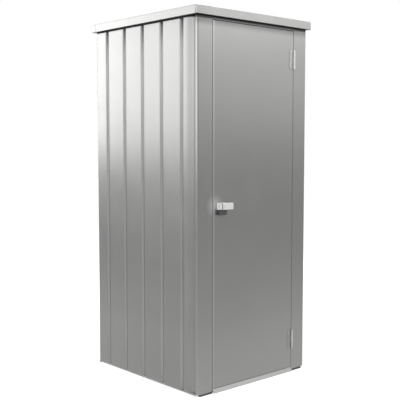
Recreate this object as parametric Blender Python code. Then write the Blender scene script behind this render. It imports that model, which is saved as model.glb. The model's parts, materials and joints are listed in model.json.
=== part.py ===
# Patio storage cabinet of folded sheet steel: grooved walls, flat roof, one door with a rack-driven rod lock.
# Units are metres. X runs to the right, Y to the rear, Z up. Local y values count from the front plane.

import math

import bmesh
import bpy
from mathutils import Matrix, Vector

for old in list(bpy.data.objects):
    bpy.data.objects.remove(old, do_unlink=True)

MM = 0.001

# Driving dimensions of the whole cabinet
HEIGHT = 1825 * MM
BODY_WIDTH = 750 * MM
BODY_DEPTH = 826 * MM
ROOF_SIDE_OVERHANG = 20 * MM
ROOF_FRONT_OVERHANG = 17 * MM
ROOF_REAR_OVERHANG = 8 * MM
FASCIA_HEIGHT = 40 * MM
WALL_SHADOW_GAP = 6.5 * MM
POST_SHADOW_GAP = 14.5 * MM
BODY_BOTTOM = 10.5 * MM

# Sheet thicknesses and clearances
SHEET = 1.0 * MM
FRAME_SHEET = 1.5 * MM
GAP = 0.3 * MM
RUNNING_FIT = 0.05 * MM
OVERRUN = 5 * MM
BEND = 2 * MM
FOLD = 1.6 * MM

# Grooved walls
GROOVE_PITCH = 151 * MM
GROOVE_WIDTH = 26 * MM
GROOVE_DEPTH = 9 * MM
GROOVE_FLANK = 6 * MM
GROOVE_BEND = 5 * MM
FIRST_FLAT = 13.2 * MM
FRONT_FLANGE = 7 * MM
REAR_CORNER_RADIUS = 22 * MM
REAR_FLANGE = 38 * MM

# Front frame
POST_WIDTH = 94 * MM
POST_RETURN = 15 * MM
POST_BEND = 4 * MM
STOP_DEPTH = 31.5 * MM
STOP_LIP = 14 * MM
HEAD_LAP = 3 * MM
LINTEL_OVERLAP = 20 * MM
LINTEL_FLANGE = 28 * MM
SILL_TOP = 20 * MM
SILL_FACE_BOTTOM = 1 * MM
SILL_SLOPE = 9 * MM
SILL_NOSE = 6 * MM
SILL_TROUGH = 3 * MM
SILL_STOP_TOP = 45 * MM
SILL_STOP_WIDTH = 13 * MM
SILL_PLATE = 8 * MM

# Base
RAIL_WIDTH = 30 * MM
RAIL_FRONT = 16 * MM
RAIL_BOTTOM = 4.5 * MM
FOOT_INSET = 1 * MM
FOOT_DEPTH = 57 * MM
FOOT_SETBACK = 0.5 * MM
FLOOR_EDGE = 30 * MM
FLOOR_RIB_WIDTH = 30 * MM
FLOOR_RIB_HEIGHT = 5 * MM
FLOOR_RIBS = 4
FLOOR_EAR_LAP = 8 * MM
FLOOR_EAR_ANGLE = 12

# Roof
ROOF_FALL = 8 * MM
DECK_RISE = 17 * MM
DECK_UPSTAND = 12 * MM
DECK_RIB_HEIGHT = 8 * MM
DECK_RIB_WIDTH = 34 * MM
DECK_RIBS = 4
FASCIA_RETURN = 12 * MM
CORNER_RETURN = 10 * MM
GUTTER_DEPTH = 35 * MM
DECK_LAP = 9 * MM
SEAM = 1.5 * MM
GUTTER_SEAM = 2.5 * MM
TOP_RAIL_WEB = 34 * MM
TOP_RAIL_FLANGE = 25 * MM

# Door
DOOR_GAP = 1.8 * MM
DOOR_DEPTH = 30 * MM
DOOR_LIP = 14 * MM
DOOR_SILL_GAP = 1.2 * MM
HAT_HEIGHT = 18 * MM
HAT_WIDTH = 44 * MM
HAT_CREST = 24 * MM
HAT_LEFT = 42 * MM
HAT_SHARES = (0.235, 0.5, 0.765)

# Hinges
HINGE_HEIGHT = 95 * MM
HINGE_FROM_TOP = 144.2 * MM
HINGE_FROM_BOTTOM = 151.3 * MM
KNUCKLE_RADIUS = 4.5 * MM
HINGE_PIN_RADIUS = 2.5 * MM
HINGE_STAND_OFF = 5 * MM
HINGE_LEAF = 1.5 * MM
DOOR_LEAF_WIDTH = 30 * MM
FRAME_LEAF_WIDTH = 12 * MM
KNUCKLES = 3

# Handle and key plug
HANDLE_HEIGHT = 899 * MM
HANDLE_FROM_EDGE = 52.2 * MM
BASE_WIDTH = 51 * MM
BASE_BELOW = 15.2 * MM
BASE_ABOVE = 16 * MM
SHROUD_BELOW = 42 * MM
BASE_DEPTH = 14.7 * MM
LEVER_HEIGHT = 31 * MM
LEVER_TAIL = 23 * MM
LEVER_REACH = 54 * MM
LEVER_THICKNESS = 15 * MM
LEVER_CORNER = 4 * MM
LEVER_EDGE = 1.2 * MM
NECK_RADIUS = 9 * MM
SPINDLE_RADIUS = 5 * MM
PLUG_RADIUS = 8 * MM
PLUG_LENGTH = 11.5 * MM
KEYWAY_WIDTH = 1.6 * MM
KEYWAY_HEIGHT = 9 * MM
KEYWAY_DEPTH = 7 * MM

# Rack and pinion rod lock
GEAR_MODULE = 2 * MM
PINION_TEETH = 12
PRESSURE_ANGLE = math.radians(25)
ADDENDUM_SHARE = 0.85
DEDENDUM_SHARE = 1.1
BACKLASH = 0.4 * MM
PINION_THICKNESS = 7 * MM
RACK_TEETH_AHEAD = 2
RACK_TEETH_BEHIND = 5
ROD_WIDTH = 8 * MM
ROD_THICKNESS = 4 * MM
ROD_DEPTH = 12 * MM
ROD_END_MARGIN = 4 * MM
ROD_TIP = 3 * MM
PLATE_HALF_HEIGHT = 48 * MM
GUIDE_WALL = 5 * MM
GUIDE_HEIGHT = 12 * MM
GUIDE_SHARES = (0.1, 0.8)
KEEPER_THICKNESS = 2 * MM
KEEPER_WIDTH = 40 * MM
KEEPER_CLEARANCE = 1.5 * MM
KEEPER_ABOVE_DOOR = 4 * MM

# Shelves and tool rail
SHELF_HEIGHTS = (480 * MM, 900 * MM, 1320 * MM)
SHELF_EDGE = 22 * MM
SHELF_FRONT = 125 * MM
SHELF_REAR_GAP = 14 * MM
SHELF_RAIL_FLANGE = 28 * MM
SHELF_RAIL_WEB = 26 * MM
TOOL_RAIL_HEIGHT = 24 * MM
TOOL_RAIL_DEPTH = 10 * MM
TOOL_RAIL_MARGIN = 30 * MM
HOOKS = 3
HOOK_THICKNESS = 3 * MM
HOOK_WIDTH = 14 * MM
HOOK_REACH = 38 * MM
HOOK_TIP = 18 * MM
HOOK_BEND = 5 * MM

# Places worked out from the sizes above
HANDLE_PROJECTION = BASE_DEPTH + GAP + LEVER_THICKNESS
TOTAL_DEPTH = HANDLE_PROJECTION + BODY_DEPTH + ROOF_REAR_OVERHANG
FRONT_Y = HANDLE_PROJECTION - TOTAL_DEPTH / 2
HALF_BODY = BODY_WIDTH / 2
HALF_ROOF = HALF_BODY + ROOF_SIDE_OVERHANG
HALF_OPENING = HALF_BODY - POST_WIDTH
FRONT_CORNER_RADIUS = POST_WIDTH - FRONT_FLANGE - BEND
FRONT_FACE_INSET = FRAME_SHEET + GAP
FIRST_GROOVE = FRONT_FACE_INSET + FRONT_CORNER_RADIUS + FIRST_FLAT
SIDE_GROOVE_RUN = BODY_DEPTH - REAR_CORNER_RADIUS - FIRST_GROOVE - GROOVE_WIDTH
REAR_GROOVE_RUN = BODY_WIDTH - 2 * (REAR_CORNER_RADIUS + REAR_FLANGE)
ROOF_REAR = BODY_DEPTH + ROOF_REAR_OVERHANG
FASCIA_BOTTOM = HEIGHT - FASCIA_HEIGHT
WALL_TOP = FASCIA_BOTTOM - WALL_SHADOW_GAP
POST_TOP = FASCIA_BOTTOM - POST_SHADOW_GAP
RAIL_TOP = BODY_BOTTOM - GAP
WALL_INSIDE = HALF_BODY - GROOVE_DEPTH - SHEET - GAP
REAR_FACE = BODY_DEPTH - SHEET - GAP
REAR_INSIDE = REAR_FACE - GROOVE_DEPTH - SHEET - GAP
DECK_HALF = HALF_ROOF - SHEET - GAP
DECK_Z = FASCIA_BOTTOM + DECK_RISE
FALL_ANGLE = math.atan(ROOF_FALL / BODY_DEPTH)
GUTTER_FRONT = ROOF_REAR - GUTTER_DEPTH
DOOR_HALF = HALF_OPENING - DOOR_GAP
DOOR_BOTTOM = SILL_TOP + DOOR_SILL_GAP
DOOR_TOP = POST_TOP - DOOR_GAP
HINGE_X = HALF_OPENING - DOOR_GAP / 2
HANDLE_X = HANDLE_FROM_EDGE - DOOR_HALF
PITCH_RADIUS = GEAR_MODULE * PINION_TEETH / 2
TOOTH_PITCH = math.pi * GEAR_MODULE
ADDENDUM = ADDENDUM_SHARE * GEAR_MODULE
DEDENDUM = DEDENDUM_SHARE * GEAR_MODULE
ROD_TRAVEL = PITCH_RADIUS * math.pi / 2
ROD_INNER = PITCH_RADIUS + DEDENDUM
ROD_OUTER = ROD_INNER + ROD_WIDTH
FIRST_HAT = DOOR_BOTTOM + HAT_SHARES[0] * (DOOR_TOP - DOOR_BOTTOM)
SHELF_REAR = REAR_INSIDE - SHELF_REAR_GAP


# Materials

def material(name, colour, roughness, metallic):
    made = bpy.data.materials.new(name)
    made.use_nodes = True
    shader = made.node_tree.nodes["Principled BSDF"]
    shader.inputs["Base Color"].default_value = (*colour, 1.0)
    shader.inputs["Roughness"].default_value = roughness
    shader.inputs["Metallic"].default_value = metallic
    return made


PAINT = material("silver_metallic_paint", (0.30, 0.30, 0.295), 0.36, 0.7)
ZINC = material("galvanised_steel", (0.60, 0.62, 0.64), 0.45, 0.9)
CAST = material("satin_aluminium", (0.78, 0.78, 0.77), 0.32, 0.8)
STEEL = material("plain_steel", (0.55, 0.55, 0.56), 0.3, 1.0)
BRASS = material("plated_brass", (0.72, 0.66, 0.50), 0.3, 1.0)
PLASTIC = material("dark_plastic", (0.045, 0.045, 0.047), 0.55, 0.0)


# Shapes

def finish(name, mesh, paint, smooth=True):
    """Link a mesh as one named object with its faces turned outward."""
    work = bmesh.new()
    work.from_mesh(mesh)
    bmesh.ops.recalc_face_normals(work, faces=work.faces)
    work.to_mesh(mesh)
    work.free()
    mesh.materials.append(paint)
    if smooth:
        mesh.shade_smooth()
        mesh.set_sharp_from_angle(angle=math.radians(32))
    item = bpy.data.objects.new(name, mesh)
    bpy.context.scene.collection.objects.link(item)
    return item


def place(axis, across, up, along):
    """Turn a profile point into the cabinet's frame; local y counts from the front plane."""
    if axis == "X":
        return Vector((along, FRONT_Y + across, up))
    if axis == "Y":
        return Vector((across, FRONT_Y + along, up))
    return Vector((across, FRONT_Y + up, along))


def prism(name, outline, axis, start, end, paint):
    """Extrude a closed outline along an axis: (y, z) for X, (x, z) for Y, (x, y) for Z."""
    work = bmesh.new()
    ring = [work.verts.new(place(axis, across, up, start)) for across, up in outline]
    face = work.faces.new(ring)
    grown = bmesh.ops.extrude_face_region(work, geom=[face])
    moved = [part for part in grown["geom"] if isinstance(part, bmesh.types.BMVert)]
    shift = place(axis, 0, 0, end) - place(axis, 0, 0, start)
    bmesh.ops.translate(work, vec=shift, verts=moved)
    mesh = bpy.data.meshes.new(name)
    work.to_mesh(mesh)
    work.free()
    return finish(name, mesh, paint)


def rectangle(low, high):
    return [(low[0], low[1]), (high[0], low[1]), (high[0], high[1]), (low[0], high[1])]


def box(name, low, high, paint):
    return prism(name, rectangle(low[:2], high[:2]), "Z", low[2], high[2], paint)


def arc(centre, radius, start, end, steps):
    """Points along an arc, angles in degrees."""
    points = []
    for step in range(steps + 1):
        angle = math.radians(start + (end - start) * step / steps)
        points.append((centre[0] + radius * math.cos(angle), centre[1] + radius * math.sin(angle)))
    return points


def circle(centre, radius, steps=48):
    return arc(centre, radius, 0, 360, steps)[:-1]


def bent(corners, radius, steps=3):
    """A path through corners, with every inner corner rounded to a bend radius."""
    path = [corners[0]]
    for before, corner, after in zip(corners, corners[1:], corners[2:]):
        here = Vector(corner)
        back = (Vector(before) - here).normalized()
        ahead = (Vector(after) - here).normalized()
        half = back.angle(ahead) / 2
        reach = radius / math.tan(half)
        centre = here + (back + ahead).normalized() * radius / math.sin(half)
        first = here + back * reach - centre
        last = here + ahead * reach - centre
        turn = first.angle_signed(last)
        for step in range(steps + 1):
            spoke = first.copy()
            spoke.rotate(Matrix.Rotation(-turn * step / steps, 2))
            path.append(tuple(centre + spoke))
    path.append(corners[-1])
    return path


def ribbon(path, thickness):
    """The closed outline of a sheet whose one face follows a path and whose other lies to its left."""
    points = [Vector(point) for point in path]
    offset = []
    for index, point in enumerate(points):
        before = (point - points[index - 1]).normalized() if index else None
        after = (points[index + 1] - point).normalized() if index + 1 < len(points) else None
        before = before or after
        after = after or before
        left = Vector((-(before.y + after.y), before.x + after.x)).normalized()
        square = Vector((-before.y, before.x)).dot(left)
        offset.append(tuple(point + left * thickness / square))
    return [tuple(point) for point in points] + offset[::-1]


def folded(item):
    """Round the outer folds of a sheet tray before its inside is cut."""
    fold = item.modifiers.new("folds", "BEVEL")
    fold.width = FOLD
    fold.segments = 2
    fold.limit_method = "ANGLE"
    fold.angle_limit = math.radians(60)
    return item


def cutter(item):
    item.hide_render = True
    item.display_type = "WIRE"
    return item


def carve(item, *tools):
    for tool in tools:
        change = item.modifiers.new("cut_" + tool.name, "BOOLEAN")
        change.operation = "DIFFERENCE"
        change.object = cutter(tool)
    return item


def fuse(item, *others):
    for other in others:
        change = item.modifiers.new("join_" + other.name, "BOOLEAN")
        change.operation = "UNION"
        change.object = cutter(other)
    return item


def hole(name, centre, radius, start, end):
    """A round cutter along Y through (x, z)."""
    return prism(name, circle(centre, radius), "Y", start, end, PLASTIC)


def window(name, low, high):
    return box(name, low, high, PLASTIC)


def deck_under(depth):
    """Height of the roof deck's underside at a distance behind the front plane."""
    return DECK_Z - depth * math.tan(FALL_ANGLE)


def tilt(item):
    """Lean a piece to the roof's fall, about the line where the deck starts."""
    pivot = Vector((0, FRONT_Y, DECK_Z))
    lean = Matrix.Rotation(-FALL_ANGLE, 4, "X")
    item.matrix_world = Matrix.Translation(pivot) @ lean @ Matrix.Translation(-pivot)
    return item


# Base

def base_rails():
    """Inverted channels under the walls, held just clear of the ground by the feet."""
    inner = HALF_BODY - RAIL_WIDTH
    rear_end = BODY_DEPTH - REAR_CORNER_RADIUS - GAP
    for side, word in ((-1, "left"), (1, "right")):
        corners = [(side * HALF_BODY, RAIL_BOTTOM), (side * HALF_BODY, RAIL_TOP), (side * inner, RAIL_TOP),
                   (side * inner, RAIL_BOTTOM)]
        outline = ribbon(bent(corners, BEND), side * FRAME_SHEET)
        prism("base_rail_" + word, outline, "Y", RAIL_FRONT, rear_end, PAINT)
    corners = [(BODY_DEPTH, RAIL_BOTTOM), (BODY_DEPTH, RAIL_TOP), (BODY_DEPTH - RAIL_WIDTH, RAIL_TOP),
               (BODY_DEPTH - RAIL_WIDTH, RAIL_BOTTOM)]
    half = inner - GAP
    prism("base_rail_rear", ribbon(bent(corners, BEND), FRAME_SHEET), "X", -half, half, PAINT)


def feet():
    """Plastic blocks: two notched round the rails' ends at the front, two rounded ones under the rear corners."""
    rail = HALF_BODY - RAIL_WIDTH - GAP
    inner = HALF_OPENING + FOOT_INSET
    outer = HALF_BODY - RAIL_FRONT
    shoulder = RAIL_FRONT - GAP
    rear = FOOT_SETBACK + FOOT_DEPTH
    front_foot = [(inner, FOOT_SETBACK), (outer, FOOT_SETBACK), (outer, shoulder), (rail, shoulder), (rail, rear),
                  (inner, rear)]
    for side, word in ((-1, "left"), (1, "right")):
        outline = [(side * across, along) for across, along in front_foot]
        prism("foot_front_" + word, outline, "Z", 0, RAIL_TOP, PLASTIC)
        centre = (side * (HALF_BODY - REAR_CORNER_RADIUS), BODY_DEPTH - REAR_CORNER_RADIUS)
        outline = arc(centre, REAR_CORNER_RADIUS, 90, 90 - 90 * side, 8)
        outline += [(side * rail, centre[1]), (side * rail, BODY_DEPTH)]
        prism("foot_rear_" + word, outline, "Z", 0, RAIL_TOP, PLASTIC)


def ribbed_tray(name, half, edge, rib_height, rib_width, ribs, level, start, end, paint):
    """A sheet with upturned side edges and raised ribs that run front to back."""
    spacing = 2 * half / (ribs + 1)
    corners = [(-half, level + edge), (-half, level)]
    for index in range(ribs):
        middle = -half + (index + 1) * spacing
        corners.append((middle - rib_width / 2, level))
        corners.append((middle - rib_width / 2 + rib_height, level + rib_height))
        corners.append((middle + rib_width / 2 - rib_height, level + rib_height))
        corners.append((middle + rib_width / 2, level))
    corners += [(half, level), (half, level + edge)]
    return prism(name, ribbon(bent(corners, BEND), SHEET), "Y", start, end, paint)


def floor_panel():
    """Ribbed floor; two flat ears at its front fill the rounded corners up to the posts."""
    front = FRONT_CORNER_RADIUS + 2 * BEND
    panel = ribbed_tray("floor_panel", WALL_INSIDE, FLOOR_EDGE, FLOOR_RIB_HEIGHT, FLOOR_RIB_WIDTH, FLOOR_RIBS,
                        BODY_BOTTOM, front, REAR_INSIDE, ZINC)
    face = FRONT_FACE_INSET
    reach = FRONT_CORNER_RADIUS - SHEET - GAP
    ear_front = STOP_DEPTH + FRAME_SHEET + GAP
    ear_rear = front + FLOOR_EAR_LAP
    inner = HALF_OPENING - STOP_LIP
    opens = math.degrees(math.asin((face + FRONT_CORNER_RADIUS - ear_front) / reach))
    for side, word in ((-1, "left"), (1, "right")):
        curve = arc((HALF_BODY - FRONT_CORNER_RADIUS, face + FRONT_CORNER_RADIUS), reach, -opens, -FLOOR_EAR_ANGLE, 8)
        outline = [(inner, ear_front)] + curve + [(curve[-1][0], ear_rear), (inner, ear_rear)]
        placed = [(side * across, along) for across, along in outline]
        bottom = BODY_BOTTOM + SHEET / 2
        fuse(panel, prism("floor_ear_" + word, placed, "Z", bottom, bottom + SHEET, ZINC))


# Walls

def grooved_path(start, end, first, count, face, inward):
    """A straight wall line with soft-edged grooves pressed inward, from start to end along the wall."""
    path = [(start, face)]
    for index in range(count):
        edge = first + index * GROOVE_PITCH
        floor = face + inward * GROOVE_DEPTH
        path.append((edge, face))
        path.append((edge + GROOVE_FLANK, floor))
        path.append((edge + GROOVE_WIDTH - GROOVE_FLANK, floor))
        path.append((edge + GROOVE_WIDTH, face))
    path.append((end, face))
    return bent(path, GROOVE_BEND, 2)


def side_walls():
    """One grooved sheet a side, rolled round the front corner and folded round the rear one."""
    face = FRONT_FACE_INSET
    grooves = 1 + int(SIDE_GROOVE_RUN / GROOVE_PITCH)
    for side, word in ((-1, "left"), (1, "right")):
        centre = (HALF_BODY - FRONT_CORNER_RADIUS, face + FRONT_CORNER_RADIUS)
        front = [(centre[0] - FRONT_FLANGE, face)] + arc(centre, FRONT_CORNER_RADIUS, -90, 0, 14)
        straight = grooved_path(0, BODY_DEPTH, FIRST_GROOVE, grooves, 0, 1)[1:-1]
        middle = [(HALF_BODY - inward, along) for along, inward in straight]
        centre = (HALF_BODY - REAR_CORNER_RADIUS, BODY_DEPTH - REAR_CORNER_RADIUS)
        rear = arc(centre, REAR_CORNER_RADIUS, 0, 90, 6) + [(centre[0] - REAR_FLANGE, BODY_DEPTH)]
        path = [(side * across, along) for across, along in front + middle + rear]
        prism("wall_" + word, ribbon(path, side * SHEET), "Z", BODY_BOTTOM, WALL_TOP, PAINT)


def rear_wall():
    """The grooved rear sheet, lapped inside the side walls' rear flanges."""
    half = HALF_BODY - REAR_CORNER_RADIUS - GAP
    grooves = int(REAR_GROOVE_RUN / GROOVE_PITCH)
    first = -((grooves - 1) * GROOVE_PITCH + GROOVE_WIDTH) / 2
    path = grooved_path(-half, half, first, grooves, REAR_FACE, -1)
    prism("wall_rear", ribbon(path, -SHEET), "Z", BODY_BOTTOM, WALL_TOP, PAINT)


# Front frame

def posts():
    """Folded front posts: side return, face, jamb and door stop."""
    for side, word in ((-1, "left"), (1, "right")):
        corners = [(HALF_BODY, POST_RETURN), (HALF_BODY, 0), (HALF_OPENING, 0), (HALF_OPENING, STOP_DEPTH),
                   (HALF_OPENING - STOP_LIP, STOP_DEPTH)]
        outer = bent(corners[:3], POST_BEND)
        inner = bent(corners[1:], BEND)
        path = [(side * across, along) for across, along in outer[:-1] + inner[1:]]
        prism("post_" + word, ribbon(path, -side * FRAME_SHEET), "Z", BODY_BOTTOM, POST_TOP, PAINT)


def head_strip():
    """Dark strip that follows the front frame's outline and reaches just behind the roof's lower edge."""
    corners = [(-HALF_BODY, POST_RETURN), (-HALF_BODY, 0), (HALF_BODY, 0), (HALF_BODY, POST_RETURN)]
    outline = ribbon(bent(corners, POST_BEND), FRAME_SHEET)
    prism("head_strip", outline, "Z", POST_TOP + GAP, FASCIA_BOTTOM + HEAD_LAP, PLASTIC)


def lintel():
    """Angle above the door: its web is the upper door stop, its flange carries the roof deck."""
    rear = STOP_DEPTH + LINTEL_FLANGE
    top = deck_under(rear) - GAP
    corners = [(STOP_DEPTH, DOOR_TOP - LINTEL_OVERLAP), (STOP_DEPTH, top), (rear, top)]
    half = HALF_OPENING - STOP_LIP - GAP
    prism("lintel", ribbon(bent(corners, BEND), -FRAME_SHEET), "X", -half, half, ZINC)
    rod_x = HANDLE_X - ROD_INNER - ROD_WIDTH / 2
    low = ROD_DEPTH - KEEPER_CLEARANCE
    high = ROD_DEPTH + ROD_THICKNESS + KEEPER_CLEARANCE
    bottom = DOOR_TOP + KEEPER_ABOVE_DOOR
    plate = box("keeper_upper", (rod_x - KEEPER_WIDTH / 2, low - 2 * KEEPER_THICKNESS, bottom),
                (rod_x + KEEPER_WIDTH / 2, STOP_DEPTH - GAP, bottom + KEEPER_THICKNESS), ZINC)
    slot = ROD_WIDTH / 2 + KEEPER_CLEARANCE
    carve(plate, window("keeper_slot", (rod_x - slot, low, bottom - OVERRUN), (rod_x + slot, high, bottom + OVERRUN)))


def door_sill():
    """Threshold folded from one sheet: sloped face, nose, trough for the lower rod, stop and plate."""
    rear = FRONT_CORNER_RADIUS + BEND
    stop_rear = STOP_DEPTH + SILL_STOP_WIDTH
    corners = [(-SILL_SLOPE, SILL_FACE_BOTTOM), (0, SILL_TOP), (SILL_NOSE, SILL_TOP), (SILL_NOSE, SILL_TROUGH),
               (STOP_DEPTH, SILL_TROUGH), (STOP_DEPTH, SILL_STOP_TOP), (stop_rear, SILL_STOP_TOP),
               (stop_rear, SILL_PLATE), (rear, SILL_PLATE)]
    half = HALF_OPENING - STOP_LIP - GAP
    sill = prism("door_sill", ribbon(bent(corners, BEND, 2), -SHEET), "X", -half, half, ZINC)
    nose_half = HALF_OPENING - GAP
    corners = [(-SILL_SLOPE, SILL_FACE_BOTTOM), (0, SILL_TOP), (SILL_NOSE, SILL_TOP), (SILL_NOSE, SILL_TROUGH),
               (STOP_DEPTH - BEND, SILL_TROUGH)]
    ends = prism("sill_ends", ribbon(bent(corners, BEND, 2), -SHEET), "X", -nose_half, nose_half, ZINC)
    fuse(sill, ends)


# Roof

def top_rails():
    """Angles inside the wall tops; the side ones follow the roof's fall."""
    for side, word in ((-1, "left"), (1, "right")):
        top = DECK_Z - GAP
        corners = [(side * WALL_INSIDE, top - TOP_RAIL_WEB), (side * WALL_INSIDE, top),
                   (side * (WALL_INSIDE - TOP_RAIL_FLANGE), top)]
        outline = ribbon(bent(corners, BEND), side * FRAME_SHEET)
        rail = prism("top_rail_" + word, outline, "Y", FRONT_CORNER_RADIUS, GUTTER_FRONT - SEAM, ZINC)
        tilt(rail)
    top = FASCIA_BOTTOM - GAP
    corners = [(REAR_INSIDE, top - TOP_RAIL_WEB), (REAR_INSIDE, top), (REAR_INSIDE - TOP_RAIL_FLANGE, top)]
    half = WALL_INSIDE - FRAME_SHEET - GAP
    prism("top_rail_rear", ribbon(bent(corners, BEND), FRAME_SHEET), "X", -half, half, ZINC)


def fascias():
    """Side fascias as channels, the front one a shallow tray with end returns, the rear one a gutter."""
    front = -ROOF_FRONT_OVERHANG
    side_start = front + CORNER_RETURN + SEAM
    side_end = GUTTER_FRONT - GUTTER_SEAM
    for side, word in ((-1, "left"), (1, "right")):
        inner = HALF_ROOF - FASCIA_RETURN
        corners = [(side * inner, FASCIA_BOTTOM), (side * HALF_ROOF, FASCIA_BOTTOM), (side * HALF_ROOF, HEIGHT),
                   (side * inner, HEIGHT)]
        outline = ribbon(bent(corners, BEND), side * SHEET)
        prism("fascia_" + word, outline, "Y", side_start, side_end, PAINT)
    tray = box("fascia_front", (-HALF_ROOF, front, FASCIA_BOTTOM), (HALF_ROOF, front + CORNER_RETURN, HEIGHT), PAINT)
    carve(folded(tray), window("fascia_hollow", (SHEET - HALF_ROOF, front + SHEET, FASCIA_BOTTOM + SHEET),
                       (HALF_ROOF - SHEET, front + CORNER_RETURN + OVERRUN, HEIGHT - SHEET)))
    gutter = box("fascia_gutter", (-HALF_ROOF, GUTTER_FRONT, FASCIA_BOTTOM), (HALF_ROOF, ROOF_REAR, HEIGHT), PAINT)
    hollow = window("gutter_hollow", (SHEET - HALF_ROOF, GUTTER_FRONT + SHEET, FASCIA_BOTTOM + SHEET),
                    (HALF_ROOF - SHEET, ROOF_REAR - SHEET, HEIGHT + OVERRUN))
    weir = window("gutter_weir", (SHEET - HALF_ROOF, GUTTER_FRONT - OVERRUN, deck_under(GUTTER_FRONT) - 2 * GAP),
                  (HALF_ROOF - SHEET, GUTTER_FRONT + 2 * SHEET, HEIGHT + OVERRUN))
    carve(folded(gutter), hollow, weir)


def roof_deck():
    start = SHEET + GAP - ROOF_FRONT_OVERHANG
    end = GUTTER_FRONT + DECK_LAP
    deck = ribbed_tray("roof_deck", DECK_HALF, DECK_UPSTAND, DECK_RIB_HEIGHT, DECK_RIB_WIDTH, DECK_RIBS,
                       DECK_Z, start, end, PAINT)
    tilt(deck)


# Shelves

def shelves():
    """Folded shelf trays on angle rails; a shelf's edges stand on the rails' flanges."""
    half = WALL_INSIDE - FRAME_SHEET - GAP
    for number, height in enumerate(SHELF_HEIGHTS, start=1):
        bottom = height - SHELF_EDGE
        shelf = box("shelf_%d" % number, (-half, SHELF_FRONT, bottom), (half, SHELF_REAR, height), ZINC)
        inside = window("shelf_hollow_%d" % number, (SHEET - half, SHELF_FRONT + SHEET, bottom - OVERRUN),
                        (half - SHEET, SHELF_REAR - SHEET, height - SHEET))
        carve(folded(shelf), inside)
        flange = bottom - GAP
        for side, word in ((-1, "left"), (1, "right")):
            inner = WALL_INSIDE - SHELF_RAIL_FLANGE
            corners = [(side * inner, flange - FRAME_SHEET), (side * WALL_INSIDE, flange - FRAME_SHEET),
                       (side * WALL_INSIDE, flange - FRAME_SHEET + SHELF_RAIL_WEB)]
            outline = ribbon(bent(corners, BEND), side * FRAME_SHEET)
            prism("shelf_rail_%s_%d" % (word, number), outline, "Y", SHELF_FRONT, SHELF_REAR, ZINC)


# Door

def turning_parent(name, location, parent=None):
    """An empty on a joint's axis that carries the pieces which move on it."""
    axis = bpy.data.objects.new(name, None)
    bpy.context.scene.collection.objects.link(axis)
    axis.location = location
    bpy.context.view_layer.update()
    if parent:
        carry(parent, axis)
    return axis


def carry(parent, *items):
    for item in items:
        bpy.context.view_layer.update()
        item.parent = parent
        item.matrix_parent_inverse = parent.matrix_world.inverted()


def door_skin():
    """The door pan: face, deep returns and inward lips, with holes for the spindle and both rods."""
    pan = box("door_skin", (-DOOR_HALF, 0, DOOR_BOTTOM), (DOOR_HALF, DOOR_DEPTH, DOOR_TOP), PAINT)
    hollow = window("door_hollow", (SHEET - DOOR_HALF, SHEET, DOOR_BOTTOM + SHEET),
                    (DOOR_HALF - SHEET, DOOR_DEPTH - SHEET, DOOR_TOP - SHEET))
    mouth = window("door_mouth", (DOOR_LIP - DOOR_HALF, DOOR_DEPTH - OVERRUN, DOOR_BOTTOM + DOOR_LIP),
                   (DOOR_HALF - DOOR_LIP, DOOR_DEPTH + OVERRUN, DOOR_TOP - DOOR_LIP))
    spindle = hole("door_spindle_hole", (HANDLE_X, HANDLE_HEIGHT), NECK_RADIUS + GAP, -OVERRUN, OVERRUN)
    slots = []
    for word, side, level in (("upper", -1, DOOR_TOP), ("lower", 1, DOOR_BOTTOM)):
        middle = HANDLE_X + side * (ROD_INNER + ROD_WIDTH / 2)
        half = ROD_WIDTH / 2 + KEEPER_CLEARANCE
        low = (middle - half, ROD_DEPTH - KEEPER_CLEARANCE, level - OVERRUN)
        high = (middle + half, ROD_DEPTH + ROD_THICKNESS + KEEPER_CLEARANCE, level + OVERRUN)
        slots.append(window("door_%s_slot" % word, low, high))
    return carve(folded(pan), hollow, mouth, spindle, *slots)


def door_hats():
    """Hat-section stiffeners across the door, right of the lock."""
    hats = []
    left = HANDLE_X + HAT_LEFT
    right = DOOR_HALF - DOOR_LIP
    for word, share in zip(("lower", "middle", "upper"), HAT_SHARES):
        level = DOOR_BOTTOM + share * (DOOR_TOP - DOOR_BOTTOM)
        back = SHEET + GAP
        crest = back + HAT_HEIGHT - SHEET
        flange = HAT_WIDTH / 2 + HAT_HEIGHT / 2
        corners = [(back, level - flange), (back, level - HAT_WIDTH / 2), (crest, level - HAT_CREST / 2),
                   (crest, level + HAT_CREST / 2), (back, level + HAT_WIDTH / 2), (back, level + flange)]
        outline = ribbon(bent(corners, BEND), -SHEET)
        hats.append(prism("door_stiffener_" + word, outline, "X", left, right, ZINC))
    return hats


def tool_rail():
    """A flat rail on the upper stiffener with hooks for hand tools."""
    level = DOOR_BOTTOM + HAT_SHARES[2] * (DOOR_TOP - DOOR_BOTTOM)
    front = SHEET + GAP + HAT_HEIGHT + GAP
    left = HANDLE_X + HAT_LEFT + TOOL_RAIL_MARGIN
    right = DOOR_HALF - DOOR_LIP - TOOL_RAIL_MARGIN
    half = TOOL_RAIL_HEIGHT / 2
    corners = [(front, level - half), (front + TOOL_RAIL_DEPTH, level - half), (front + TOOL_RAIL_DEPTH, level + half),
               (front, level + half)]
    pieces = [prism("tool_rail", ribbon(bent(corners, BEND), FRAME_SHEET), "X", left, right, ZINC)]
    face = front + TOOL_RAIL_DEPTH + GAP
    for number in range(1, HOOKS + 1):
        middle = left + (right - left) * number / (HOOKS + 1)
        foot = level - half
        corners = [(face, level + half), (face, foot), (face + HOOK_REACH, foot), (face + HOOK_REACH, foot + HOOK_TIP)]
        outline = ribbon(bent(corners, HOOK_BEND, 4), HOOK_THICKNESS)
        name = "tool_hook_%d" % number
        pieces.append(prism(name, outline, "X", middle - HOOK_WIDTH / 2, middle + HOOK_WIDTH / 2, STEEL))
    return pieces


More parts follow.
